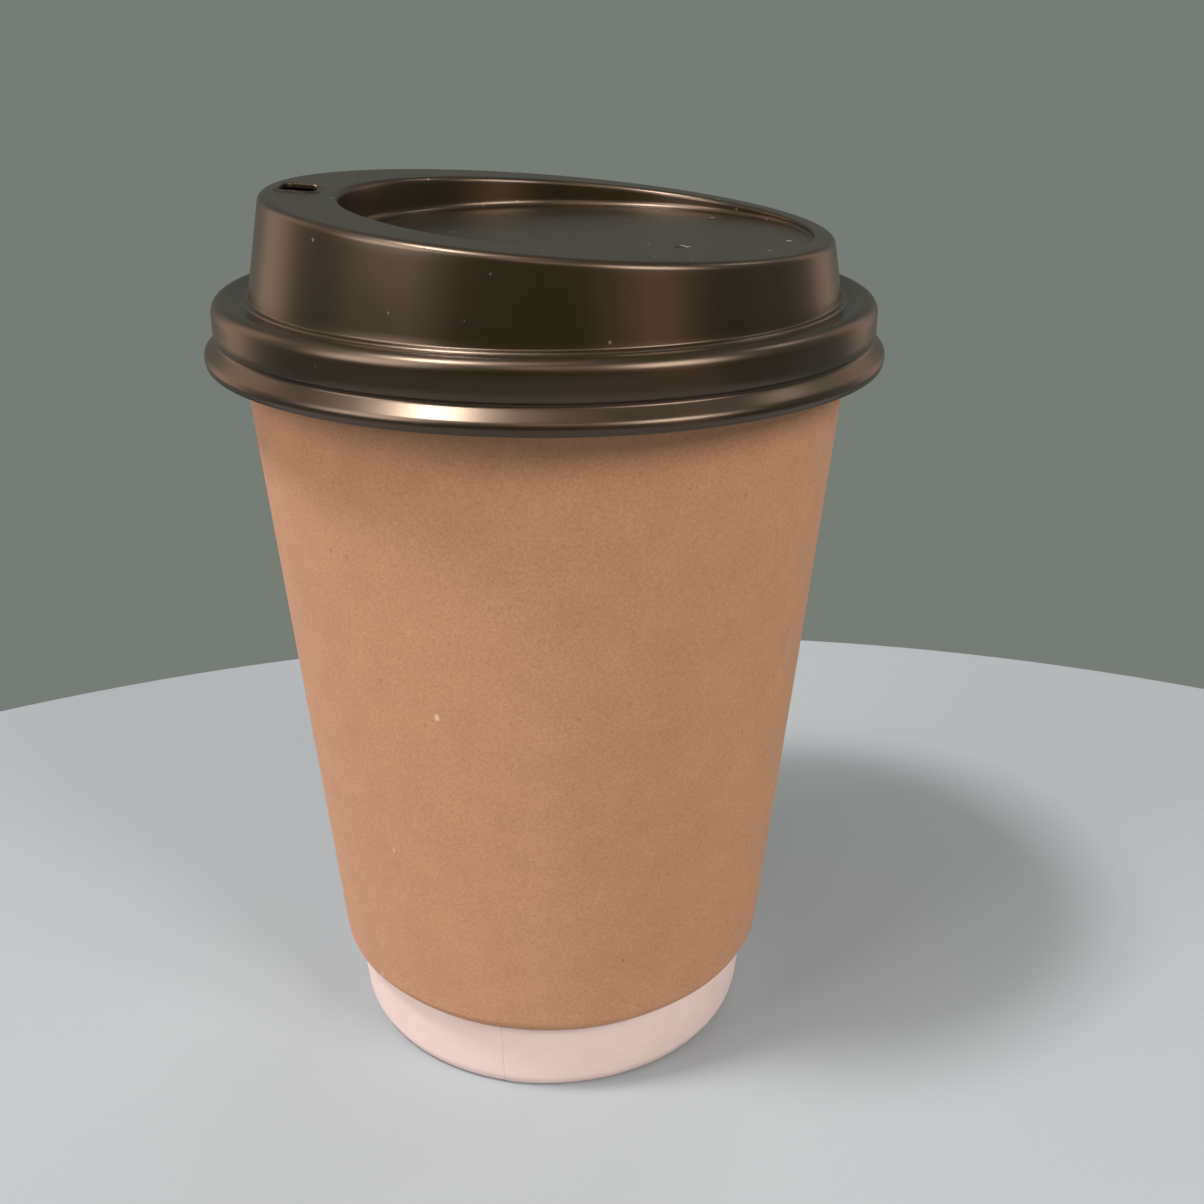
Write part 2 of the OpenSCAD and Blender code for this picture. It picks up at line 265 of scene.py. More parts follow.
kraftLook = {
    "dark": (0.465, 0.228, 0.118),
    "mid": (0.53, 0.27, 0.15),
    "pale": (0.59, 0.318, 0.18),
    "cloudDark": (0.95, 0.945, 0.94),
    "cloudPale": (1.04, 1.04, 1.04),
    "paleFleck": (0.78, 0.58, 0.42),
    "darkFleck": (0.17, 0.08, 0.042),
    "roughness": 0.8,
    "sheen": 0.05,
    "speckle": (2600, 3, 0.65),  # waves to the metre, detail and roughness of a noise
    "speckleCuts": (0.3, 0.5, 0.72),  # where on the noise the dark, mid and pale colours are
    "cloud": (170, 4, 0.55),
    "cloudCuts": (0.3, 0.7),
    "fibres": [(12, (900, 90, 1)), (74, (1000, 80, 1)), (131, (850, 100, 1))],  # turn and stretch
    "fibreCuts": (0.64, 0.76),
    "fibreDepth": 0.25,
    "bump": (0.0001, 0.5),  # depth in metres and strength
    # cells to the metre, size of a dot, cut that chooses the cells, colour and depth
    "flecks": [(260, 0.13, 0.965, "paleFleck", 0.8),
               (420, 0.16, 0.965, "darkFleck", 0.32),
               (700, 0.2, 0.95, "darkFleck", 0.22)],
}


def kraftMaterial(look):
    # brown kraft: speckle ramp times pulp cloud, then fibres and flecks mixed over it; the bump is
    # 0.6 speckle + 0.25 fibres
    material, tree, shader = newMaterial("kraftPaper", look["roughness"], 0.3)
    shader.inputs["Sheen Weight"].default_value = look["sheen"]
    shader.inputs["Sheen Roughness"].default_value = 0.45
    place = objectVector(tree)
    sheet = surfaceVector(tree)
    speckle = noiseNode(tree, place, *look["speckle"])
    cloud = noiseNode(tree, place, *look["cloud"])
    colour = rampNode(tree, speckle, list(zip(look["speckleCuts"], (look["dark"], look["mid"], look["pale"]))))
    cloudTone = rampNode(tree, cloud, list(zip(look["cloudCuts"], (look["cloudDark"], look["cloudPale"]))))
    colour = mixNode(tree, 1.0, colour, cloudTone, "MULTIPLY")
    fibreHeight = None
    for turn, stretch in look["fibres"]:
        fibre = noiseNode(tree, stretched(tree, sheet, stretch, turn), 1.0, 1, 0.5)
        strand = rangeNode(tree, fibre, *look["fibreCuts"])
        share = mathNode(tree, "MULTIPLY", strand, look["fibreDepth"])
        colour = mixNode(tree, share, colour, (*look["pale"], 1))
        fibreHeight = strand if fibreHeight is None else mathNode(tree, "ADD", fibreHeight, strand)
    grain = stretched(tree, place, (1, 1, 0.7))
    for scale, size, cut, fleck, depth in look["flecks"]:
        spot = fleckNode(tree, grain, scale, size, size * 0.5, "Red", cut, depth)
        colour = mixNode(tree, spot, colour, (*look[fleck], 1))
    link(tree, colour, shader.inputs["Base Color"])
    height = mathNode(tree, "ADD", mathNode(tree, "MULTIPLY", speckle, 0.6),
                      mathNode(tree, "MULTIPLY", fibreHeight, 0.25))
    bumpNode(tree, height, *look["bump"], shader)
    return material


boardLook = {
    "tint": (0.90, 0.70, 0.65),
    "shade": (0.87, 0.665, 0.615),
    "seam": (0.70, 0.52, 0.47),
    "seamAngle": -105.0,
    "seamWidth": 0.2,  # at the band above the foot, where the wall's radius is seamRadius
    "seamRadius": 31.0,
    "seamDepth": 0.55,
    "roughness": 0.55,
    "cloud": (420, 4, 0.6),
    "cloudCuts": (0.25, 0.6),
    "grain": (1500, 3, 0.6),
    "bump": (0.00005, 0.4),
}


def boardMaterial(look):
    # white coated paperboard: a very faint pulp cloud, and a thin upright line where the angle
    # atan2(y, x) round the axis equals the seam's
    material, tree, shader = newMaterial("whiteBoard", look["roughness"], 0.4)
    place = objectVector(tree)
    cloud = noiseNode(tree, place, *look["cloud"])
    colour = rampNode(tree, cloud, list(zip(look["cloudCuts"], (look["shade"], look["tint"]))))
    split = tree.nodes.new("ShaderNodeSeparateXYZ")
    link(tree, place, split.inputs["Vector"])
    angle = mathNode(tree, "ARCTAN2", split.outputs["Y"], split.outputs["X"])
    seamAngle = float(np.radians(look["seamAngle"]))
    away = mathNode(tree, "ABSOLUTE", mathNode(tree, "SUBTRACT", angle, seamAngle))
    halfWidth = look["seamWidth"] / 2 / look["seamRadius"]
    line = rangeNode(tree, away, halfWidth, halfWidth / 2)
    colour = mixNode(tree, mathNode(tree, "MULTIPLY", line, look["seamDepth"]), colour, (*look["seam"], 1))
    link(tree, colour, shader.inputs["Base Color"])
    bumpNode(tree, noiseNode(tree, place, *look["grain"]), *look["bump"], shader)
    return material


lidLook = {
    "brown": (0.006, 0.0042, 0.0012),
    "worn": (0.0105, 0.0072, 0.0035),
    "dust": (0.34, 0.30, 0.26),
    "dustCells": [(520, 0.972), (900, 0.98)],  # cells to the metre and cut that chooses them
    "dustSize": 0.16,
    "dustCore": 0.06,
    "dustDepth": 0.55,
    # painted highlight: colour and strength of the pale glints painted into the well floor's base colour
    "paintedGlintColour": (0.42, 0.37, 0.32),
    "paintedGlintDepth": 0.5,
    # middle and half sizes of each painted glint: a pale spot painted on the well's floor as a highlight
    "paintedGlints": [(17.9, -12.0, 122.85, 0.75, 0.5, 1.0),
               (25.3, 16.7, 122.85, 0.3, 0.45, 1.0),
               (32.6, -7.0, 122.85, 0.45, 0.45, 1.0)],
    "sheen": (1.0, 0.74, 0.56),
    "roughness": 0.31,
    "waves": (110, 3, 0.5),
    "waveStretch": (1, 1, 0.35),
    "wornCuts": (0.4, 0.7),
    "waveGloss": 0.07,
    "grain": (1300, 2, 0.5),
    "bump": (0.00006, 0.35),
}


def plasticMaterial(look):
    # formed dark-brown plastic with a satin bronze sheen: two browns mixed by slow waves, dust and painted
    # glints (pale spots painted as highlights) over them; roughness is the look's own + waveGloss * (waves - half), the
    # bump waves + 0.15 grain
    material, tree, shader = newMaterial("brownPlastic", look["roughness"], 1.0)
    shader.inputs["Specular Tint"].default_value = (*look["sheen"], 1)
    place = objectVector(tree)
    waves = noiseNode(tree, stretched(tree, place, look["waveStretch"]), *look["waves"])
    grain = noiseNode(tree, place, *look["grain"])
    worn = rangeNode(tree, waves, *look["wornCuts"])
    colour = mixNode(tree, worn, (*look["brown"], 1), (*look["worn"], 1))
    for scale, cut in look["dustCells"]:
        speck = fleckNode(tree, place, scale, look["dustSize"], look["dustCore"], "Green", cut, look["dustDepth"])
        colour = mixNode(tree, speck, colour, (*look["dust"], 1))
    # painted highlights: pale glint spots mixed into the base colour
    for spot in look["paintedGlints"]:
        share = mathNode(tree, "MULTIPLY", spotNode(tree, place, spot), look["paintedGlintDepth"])
        colour = mixNode(tree, share, colour, (*look["paintedGlintColour"], 1))
    link(tree, colour, shader.inputs["Base Color"])
    smooth = look["roughness"] - look["waveGloss"] / 2
    gloss = mathNode(tree, "ADD", smooth, mathNode(tree, "MULTIPLY", waves, look["waveGloss"]))
    link(tree, gloss, shader.inputs["Roughness"])
    height = mathNode(tree, "ADD", mathNode(tree, "MULTIPLY", grain, 0.15), waves)
    bumpNode(tree, height, *look["bump"], shader)
    return material


kraftPaper = kraftMaterial(kraftLook)
whiteBoard = boardMaterial(boardLook)
brownPlastic = plasticMaterial(lidLook)
print("materials made")

# inner cup
cup = {
    "board": 0.35,
    "footRadius": 31.5,  # outside of the wall just above the foot
    "standAngle": 9.0,  # half the angle of the flat that the fold stands on
    "tuckStart": 35.0,
    "tuckRadius": 4.0,
    "foldRadius": 0.45,
    "foldHeight": 5.2,
    "foldFoot": 2.6,
    "rollRadius": 1.4,
    "rollTurn": 300,
    "seamAngle": 256.0,
    "seamLap": 13.0,
    "seamStep": 0.12,
    "seamRadius": 35.0,
    "layerGap": 0.05,  # between layers that are glued
    "columns": 360,
}
rollCentre = np.array([rimRadius - cup["rollRadius"], cupHeight - cup["rollRadius"]])
wallTop = rimRadius - 2 * cup["rollRadius"] + cup["board"]
wallSlope = (wallTop - cup["footRadius"]) / (rollCentre[1] - cup["tuckRadius"] / 2)
wallLean = np.degrees(np.arctan(wallSlope))
wallRun = cup["board"] / np.cos(np.radians(wallLean))  # the board's thickness measured level


def wallRadius(z):
    # outside of the cup wall, a straight cone: foot radius + slope * (z - half the tuck's radius)
    return cup["footRadius"] + (z - cup["tuckRadius"] / 2) * wallSlope


def cupPath(c):
    # middle of the board as arcs joined by straight lines: up-fold inside the foot, tight fold,
    # tucked edge, wall and rolled rim; the tuck's arc starts where it is tangent to the fold's
    half = c["board"] / 2
    foldZ = c["foldRadius"] * np.cos(np.radians(c["standAngle"])) + half
    turn = np.radians([-c["tuckStart"], -wallLean])
    tuckZ = foldZ + c["foldRadius"] * np.sin(turn[0]) + c["tuckRadius"] * (np.sin(turn[1]) - np.sin(turn[0]))
    tuckRun = c["foldRadius"] * np.cos(turn[0]) + c["tuckRadius"] * (np.cos(turn[1]) - np.cos(turn[0]))
    fold = np.array([wallRadius(tuckZ) - wallRun / 2 - tuckRun, foldZ])
    tuck = fold + (c["foldRadius"] - c["tuckRadius"]) * np.array([np.cos(turn[0]), np.sin(turn[0])])
    inside = [wallRadius(h) - 2.5 * wallRun - c["layerGap"] for h in (c["foldHeight"], c["foldFoot"])]
    wallFoot = [wallRadius(tuckZ + 0.2) - wallRun / 2, tuckZ + 0.2]
    wallHead = [wallTop - wallRun / 2 - 0.05 * wallSlope, rollCentre[1] - 0.05]
    return np.vstack([
        [[inside[0], c["foldHeight"]], [inside[1], c["foldFoot"]]],
        arcPoints(fold, c["foldRadius"], -180, -90 - c["standAngle"], 7),
        arcPoints(fold, c["foldRadius"], -90 + c["standAngle"], -c["tuckStart"], 5),
        arcPoints(tuck, c["tuckRadius"], 5 - c["tuckStart"], -wallLean, 7),
        linePoints(wallFoot, wallHead, 22),
        arcPoints(rollCentre, c["rollRadius"] - half, 180, 180 - c["rollTurn"], 30),
    ])


def cupShift(a, r, z):
    # the ends of the board overlap: r + step * (1 - s)^1.5, with s from 0 at the seam to 1 past the lap
    lapAngle = np.degrees(cup["seamLap"] / cup["seamRadius"])
    along = (a - cup["seamAngle"]) % 360
    rise = np.clip(1 - along / lapAngle, 0, 1)
    return r + cup["seamStep"] * rise ** 1.5, z


cupPoints, cupFaces, cupUv = revolve(sheetLoop(cupPath(cup), cup["board"]), cup["columns"], cupShift)
makePiece("cupWall", cupPoints, cupFaces.tolist(), whiteBoard, "cup", ["inner_cup"], cupUv)

# base disc
base = {"rise": 6.5, "bend": 0.8, "skirt": 2.6, "columns": 240}


def discPath(b):
    # middle of the board: a level line, an arc of the bend's radius and a line along the wall
    half = cup["board"] / 2
    bendZ = b["rise"] + half - b["bend"]
    bend = [wallRadius(bendZ) - 1.5 * wallRun - b["bend"] / np.cos(np.radians(wallLean)), bendZ]
    rings = np.stack([np.linspace(0.4, bend[0] - 1, 14), np.full(14, b["rise"] + half)], axis=-1)
    skirtEdge = [wallRadius(b["skirt"]) - 1.5 * wallRun, b["skirt"]]
    return np.vstack([rings, arcPoints(bend, b["bend"], 90, -wallLean, 9), [skirtEdge]])


def closedDisc(path, thickness, columns):
    # the disc's section carried round the axis, with a fan from its middle on both faces
    loop = sheetLoop(path, thickness)
    points, faces, uv = revolve(loop, columns)
    faces = faces.reshape(len(loop), columns, 4)[:-1].reshape(-1, 4)  # no wall between the two middles
    bottom = (len(loop) - 1) * columns
    middle = len(points)
    points = np.vstack([points, [[0, 0, loop[0, 1]], [0, 0, loop[-1, 1]]]])
    uv = np.vstack([uv, uv[:2]])
    j = np.arange(columns)
    k = (j + 1) % columns
    fans = np.concatenate([
        np.stack([k, j, np.full(columns, middle)], axis=-1),
        np.stack([bottom + j, bottom + k, np.full(columns, middle + 1)], axis=-1)])
    return points, faces.tolist() + fans.tolist(), uv


discPoints, discFaces, discUv = closedDisc(discPath(base), cup["board"], base["columns"])
makePiece("baseDisc", discPoints, discFaces, whiteBoard, "cup", ["base_disc"], discUv)

# outer wrap
wrap = {
    "footRadius": 34.4,
    "hemTop": 14.9,
    "hemRadius": 2.8,
    "hemGap": 0.12,
    "top": 111.6,
    "glueBand": 4.0,
    "seamAngle": 118.0,
    "lap": 10.0,
    "lapStep": 0.3,
    "lapSpread": 1.6,  # the step dies away over this many laps
    "lapTop": 108.0,
    "seamRadius": 38.0,
    "waves": [(0.05, 3, 40, 37), (0.03, 7, 0, -19)],  # size, waves round, start in degrees, pitch in z
    "hemWaves": [(0.06, 5, 20), (0.04, 11, 70)],
    "waveTop": 107.0,
    "waveFoot": 13.5,
    "waveFade": 6.0,
    "hemWaveTop": 16.0,
    "hemWaveFade": 3.0,
    "columns": 480,
}


def wrapPath(w):
    # middle of the kraft: a line along the glued band, a straight cone and the hem's arc, which turns
    # in until it is hemGap from the cup wall
    half = cup["board"] / 2
    hem = [w["footRadius"] - w["hemRadius"], w["hemTop"]]
    hemReach = wallRadius(w["hemTop"] - w["hemRadius"]) + w["hemGap"] - hem[0]
    turn = np.degrees(np.arccos(hemReach / (w["hemRadius"] - cup["board"])))
    lift = w["top"] - w["glueBand"]
    band = [wallRadius(w["top"]) + wallRun / 2 + cup["layerGap"], w["top"]]
    head = [wallRadius(lift) + wallRun / 2 + cup["layerGap"], lift]
    foot = [w["footRadius"] - half, w["hemTop"]]
    return np.vstack([[band, head], linePoints(head, foot, 24), arcPoints(hem, w["hemRadius"] - half, 0, -turn, 12)])


def wrapShift(a, r, z):
    # r + step * (1 - s)^1.3 at the lap + sum of size * sin(n a + start + z / pitch), which fades to 0 at
    # the band and the hem; the hem's lower edge has waves of its own in z
    along = (a - wrap["seamAngle"]) % 360
    lapAngle = np.degrees(wrap["lap"] / wrap["seamRadius"])
    rise = np.clip(1 - along / (wrap["lapSpread"] * lapAngle), 0, 1) ** 1.3
    upper = np.clip((wrap["waveTop"] - z) / wrap["waveFade"], 0, 1)
    lower = np.clip((z - wrap["waveFoot"]) / wrap["waveFade"], 0, 1)
    wave = sum(size * np.sin(np.radians(n * a + start) + z / pitch) for size, n, start, pitch in wrap["waves"])
    hemWave = sum(size * np.sin(np.radians(n * a + start)) for size, n, start in wrap["hemWaves"])
    lapRise = wrap["lapStep"] * rise * np.clip((wrap["lapTop"] - z) / 2, 0, 1)
    hem = np.clip((wrap["hemWaveTop"] - z) / wrap["hemWaveFade"], 0, 1)
    return r + lapRise + wave * (upper * lower), z + hemWave * hem


wrapPoints, wrapFaces, wrapUv = revolve(sheetLoop(wrapPath(wrap), cup["board"]), wrap["columns"], wrapShift)
makePiece("kraftWrap", wrapPoints, wrapFaces[:, ::-1].tolist(), kraftPaper, "cup",
          ["outer_wrap"], wrapUv)
print("cup made")

# lid
lid = {
    "sheet": 0.45,
    "turn": -13.0,  # of the whole lid on the cup
    "crownZ": cupHeight + 0.65,
    "skirtDrop": 8.4,
    "skirtRadius": rimRadius + 2.3,
    "bulgeRadius": 1.15,
    "bulgeHeight": 0.9,
    "snapRadius": rimRadius + 0.65,
    "snapHeight": 3.15,
    "grooveRadius": 0.4,
    "grooveSlope": 60.0,
    "shoulderEdge": rimRadius + 0.9,
    "shoulderRadius": 1.8,
    "valleyDepth": 0.4,
    "valleyRadius": 0.2,
    "ledgeHeight": 0.3,
    "ledgeRadius": 0.46,
    "ledgeRun": 0.305,
    "domeRadius": 40.9,
    "domeRise": 10.7,
    "domeLean": 10.5,
    "footRadius": 0.3,
    "edgeRadius": 1.1,
    "topSlope": 4.25,
    "wellRadius": 32.32,
    "wellOffset": 4.5,
    "wellDepth": 3.5,
    "wellDraft": 3.0,
    "wellEdge": 0.9,
    "wellFloor": 1.2,
    "columns": 288,
}
# each hole: a window cut in the grid, shares of the way from it to the lip, and the lip's steps as
# distance outside the hole and height
sipHole = {
    "offset": 33.62,
    "angle": 12.0,
    "width": 5.0,
    "length": 7.0,
    "corner": 1.2,
    "window": (16.0, 14.0),
    "shares": [0.35, 0.7],
    "lip": [(0.78, 0.0), (0.68, 0.03), (0.58, 0.12), (0.46, 0.2), (0.3, 0.24), (0.15, 0.22), (0.05, 0.15), (0.0, 0.04)],
}
vent = {
    "offset": 21.0,
    "angle": -22.0,
    "radius": 0.4,
    "window": (4.4, 3.2),
    "shares": [0.4, 0.8],
    "lip": [(0.5, 0.0), (0.38, 0.04), (0.24, 0.12), (0.12, 0.14), (0.03, 0.1), (0.0, 0.03)],
}
slope = np.tan(np.radians(lid["topSlope"]))
ledgeZ = lid["crownZ"] - lid["valleyDepth"] + lid["ledgeHeight"]
topZ = ledgeZ + lid["domeRise"]
floorZ = topZ - lid["wellDepth"]


def tangentTurn(convex, convexRadius, concave, concaveRadius):
    # angle at which a straight line leaves one arc to meet the other on its far side:
    # the angle between the centres - arccos(sum of the radii / distance between the centres)
    way = concave - convex
    return np.degrees(np.arctan2(way[1], way[0]) - np.arccos((convexRadius + concaveRadius) / np.linalg.norm(way)))


def ringProfile(c):
    # outer face of the ring, arcs joined by their tangents: bulge of the skirt, snap groove, shoulder,
    # valley and ledge
    skirtZ = c["crownZ"] - c["skirtDrop"]
    bulge = np.array([c["skirtRadius"] - c["bulgeRadius"], skirtZ + c["bulgeHeight"]])
    groove = np.array([c["snapRadius"] + c["grooveRadius"], skirtZ + c["snapHeight"]])
    shoulder = np.array([c["shoulderEdge"], c["crownZ"]]) - c["shoulderRadius"]
    bends = c["valleyRadius"] + c["ledgeRadius"]
    ledgeTurn = np.degrees(np.arccos(1 - c["ledgeHeight"] / bends))
    ledge = np.array([c["domeRadius"] + c["ledgeRun"], ledgeZ - c["ledgeRadius"]])
    valley = ledge + bends * unit(90 - ledgeTurn)
    grooveTurn = tangentTurn(bulge, c["bulgeRadius"], groove, c["grooveRadius"])
    valleyTurn = tangentTurn(shoulder, c["shoulderRadius"], valley, c["valleyRadius"])
    grooveEnd = groove + c["grooveRadius"] * unit(90 + c["grooveSlope"])
    steep = np.array([1, np.tan(np.radians(c["grooveSlope"]))])
    shoulderFoot = grooveEnd + (c["shoulderEdge"] - grooveEnd[0]) * steep
    skirtEdge = bulge + c["bulgeRadius"] * unit(-30)
    bulgeEnd, grooveStart = c["bulgeRadius"] * unit(grooveTurn), c["grooveRadius"] * unit(grooveTurn)
    shoulderEnd, valleyStart = c["shoulderRadius"] * unit(valleyTurn), c["valleyRadius"] * unit(valleyTurn)
    return np.vstack([
        [[skirtEdge[0] - 0.03, skirtZ + 0.01], [skirtEdge[0], skirtZ + 0.06]],
        arcPoints(bulge, c["bulgeRadius"], -30, grooveTurn, 16),
        linePoints(bulge + bulgeEnd, groove - grooveStart, 3),
        arcPoints(groove, c["grooveRadius"], grooveTurn + 180, 90 + c["grooveSlope"], 7),
        [shoulderFoot - [0.06, 0.1], shoulderFoot + [0, 0.08]],
        linePoints(shoulderFoot + [0, 0.08], [c["shoulderEdge"], shoulder[1]], 2),
        arcPoints(shoulder, c["shoulderRadius"], 0, valleyTurn, 18),
        linePoints(shoulder + shoulderEnd, valley - valleyStart, 3),
        arcPoints(valley, c["valleyRadius"], valleyTurn - 180, -90 - ledgeTurn, 7),
        arcPoints(ledge, c["ledgeRadius"], 90 - ledgeTurn, 90, 6)[1:],
    ])


def polar(r, z, theta, dx=0.0):
    # (dx + r cos t, r sin t, z): radius r and height z at angle t round an axis moved by dx
    return np.stack([dx + r * np.cos(theta), r * np.sin(theta), np.broadcast_to(z, r.shape)], axis=-1)


def meet(angleA, offsetA, angleB, offsetB):
    # point (r, z) where the two lines r cos(a) + z sin(a) = offset cross
    det = np.cos(angleA) * np.sin(angleB) - np.cos(angleB) * np.sin(angleA)
    r = (offsetA * np.sin(angleB) - offsetB * np.sin(angleA)) / det
    return r, (np.cos(angleA) * offsetB - np.cos(angleB) * offsetA) / det


def sweep(centre, radius, start, stop, count):
    # centre + radius * (cos a, sin a), one row for each step of a and one column for each angle round
    # the lid, where centre, radius, start and stop differ from column to column
    w = np.linspace(0, 1, count)[:, None]
    a = start + (stop - start) * w
    return centre[0] + radius * np.cos(a), centre[1] + radius * np.sin(a)


def between(first, last, count):
    # first * (1 - w) + last * w at equal steps of w, without the two ends
    w = np.linspace(0, 1, count)[1:-1].reshape((-1,) + (1,) * first.ndim)
    return first * (1 - w) + last * w


def lidGrid(c):
    # outer face of the lid, row by row from the skirt's edge to the middle of the well. The top is the
    # plane z = topZ - slope * x, the dome's wall a cone, the well's wall a cone round its own axis, and
    # each rounding an arc whose centre is where the two faces, moved by its radius, cross
    theta = np.radians(np.linspace(0, 360, c["columns"], endpoint=False))
    fall = slope * np.cos(theta)  # how fast the top falls outwards at each angle
    rows = [polar(np.broadcast_to(r, theta.shape), z, theta)[None] for r, z in ringProfile(c)]
    up = np.full(theta.shape, np.pi / 2)
    lean = np.full(theta.shape, np.radians(c["domeLean"]))
    wallOffset = c["domeRadius"] * np.cos(lean) + ledgeZ * np.sin(lean)
    foot = meet(up, ledgeZ + c["footRadius"], lean, wallOffset + c["footRadius"])
    footR, footZ = sweep(foot, c["footRadius"], -up, -np.pi + lean, 5)
    topNormal = np.pi / 2 - np.arctan(fall)
    topOffset = topZ * np.sin(topNormal)
    edge = meet(lean, wallOffset - c["edgeRadius"], topNormal, topOffset - c["edgeRadius"])
    edgeR, edgeZ = sweep(edge, c["edgeRadius"], lean, topNormal, 12)
    wallR, wallZ = between(footR[-1], edgeR[0], 12), between(footZ[-1], edgeZ[0], 12)
    rows += [polar(footR, footZ, theta), polar(wallR, wallZ, theta), polar(edgeR, edgeZ, theta)]
    # well: its edge and its floor's bend shrink together where it is shallow
    centreZ = topZ - slope * c["wellOffset"]
    draft = np.radians(c["wellDraft"])
    depth = centreZ - slope * np.cos(theta) * c["wellRadius"] - floorZ
    shrink = (1 + (depth / (1.12 * (c["wellEdge"] + c["wellFloor"]))) ** -3) ** (-1 / 3)
    edgeBend, floorBend = c["wellEdge"] * shrink, c["wellFloor"] * shrink
    inward = np.full(theta.shape, np.pi - draft)
    wellOffset = c["wellRadius"] * np.cos(inward) + topZ * np.sin(inward)
    lipCentre = meet(topNormal, centreZ * np.sin(topNormal) - edgeBend, inward, wellOffset - edgeBend)
    lipR, lipZ = sweep(lipCentre, edgeBend, topNormal, inward, 10)
    bendCentre = meet(up, floorZ + floorBend, inward, wellOffset + floorBend)
    bendR, bendZ = sweep(bendCentre, floorBend, np.full(theta.shape, -draft), -up, 10)
    sideR, sideZ = between(lipR[-1], bendR[0], 8), between(lipZ[-1], bendZ[0], 8)
    floorR = bendR[-1] * np.linspace(1, 0.02, 18)[1:, None]
    well = [polar(r, z, theta, c["wellOffset"]) for r, z in (
        (lipR, lipZ), (sideR, sideZ), (bendR, bendZ), (floorR, np.full(floorR.shape, floorZ)))]
    land = between(rows[-1][-1], well[0][0], 17)
    return np.concatenate(rows + [land] + well)


def holeRadius(hole, angle, grow):
    # distance from the hole's middle to its outline, larger by grow, in a direction: a circle's radius,
    # or a rounded rectangle drawn as four arcs and its sides, in 24 parts a step, and read at the angle
    if "radius" in hole:
        return np.full(np.shape(angle), hole["radius"] + grow)
    x, y = hole["width"] / 2 - hole["corner"], hole["length"] / 2 - hole["corner"]
    r = hole["corner"] + grow
    outline = np.vstack([arcPoints([x, y], r, 0, 90, 40), arcPoints([-x, y], r, 90, 180, 40),
                         arcPoints([-x, -y], r, 180, 270, 40), arcPoints([x, -y], r, 270, 360, 40)])
    share = np.linspace(0, 1, 24, endpoint=False)[None, :, None]
    outline = (outline[:, None] * (1 - share) + np.roll(outline, -1, axis=0)[:, None] * share).reshape(-1, 2)
    way = np.degrees(np.arctan2(outline[:, 1], outline[:, 0])) % 360
    order = np.argsort(way)
    return np.interp(angle % 360, way[order], np.hypot(outline[:, 0], outline[:, 1])[order], period=360)


def windowLoop(rowLow, rowHigh, colLow, colHigh, columns):
    # numbers i * columns + j of the vertices round a window of the grid, side after side
    i, j = np.arange(rowLow, rowHigh), np.arange(colLow, colHigh)
    return np.concatenate([rowLow * columns + j, i * columns + colHigh,
                           rowHigh * columns + j[::-1] + 1, (i[::-1] + 1) * columns + colLow])


def cutHole(grid, start, hole, centre, u, v, n):
    # rings of vertices inside a window of the grid: centre + R (cos a u + sin a v) + height n, where R
    # goes from the window's edge to the lip and over it to the hole
    rows, columns = grid.shape[:2]
    local = grid.reshape(-1, 3) - centre
    pu, pv, pn = local @ u, local @ v, local @ n
    near = (np.abs(pu) < hole["window"][0] / 2) & (np.abs(pv) < hole["window"][1] / 2)
    inside = (near & (np.abs(pn) < 0.02)).reshape(rows, columns)  # only where the grid lies on the plane
    usedRows, usedCols = np.where(inside.any(1))[0], np.where(inside.any(0))[0]
    window = usedRows[0], usedRows[-1], usedCols[0], usedCols[-1]
    loop = windowLoop(*window, columns)
    angle = np.degrees(np.arctan2(pv[loop], pu[loop]))
    reach = np.hypot(pu[loop], pv[loop])
    lipEdge = holeRadius(hole, angle, hole["lip"][0][0])
    radii = [reach + (lipEdge - reach) * share for share in hole["shares"]]
    radii = np.array(radii + [holeRadius(hole, angle, grow) for grow, height in hole["lip"]])[..., None]
    heights = np.array([0.0] * len(hole["shares"]) + [height for grow, height in hole["lip"]])[:, None, None]
    turn = np.radians(angle)[:, None]
    flat = centre + radii * np.cos(turn) * u + radii * np.sin(turn) * v
    numbers = np.vstack([loop, start + np.arange(flat[..., 0].size).reshape(len(radii), -1)])
    after = np.roll(numbers, -1, axis=1)
    faces = np.stack([numbers[:-1], after[:-1], after[1:], numbers[1:]], axis=-1).reshape(-1, 4)
    return window, (flat + heights * n).reshape(-1, 3), flat.reshape(-1, 3), faces, numbers[-1]


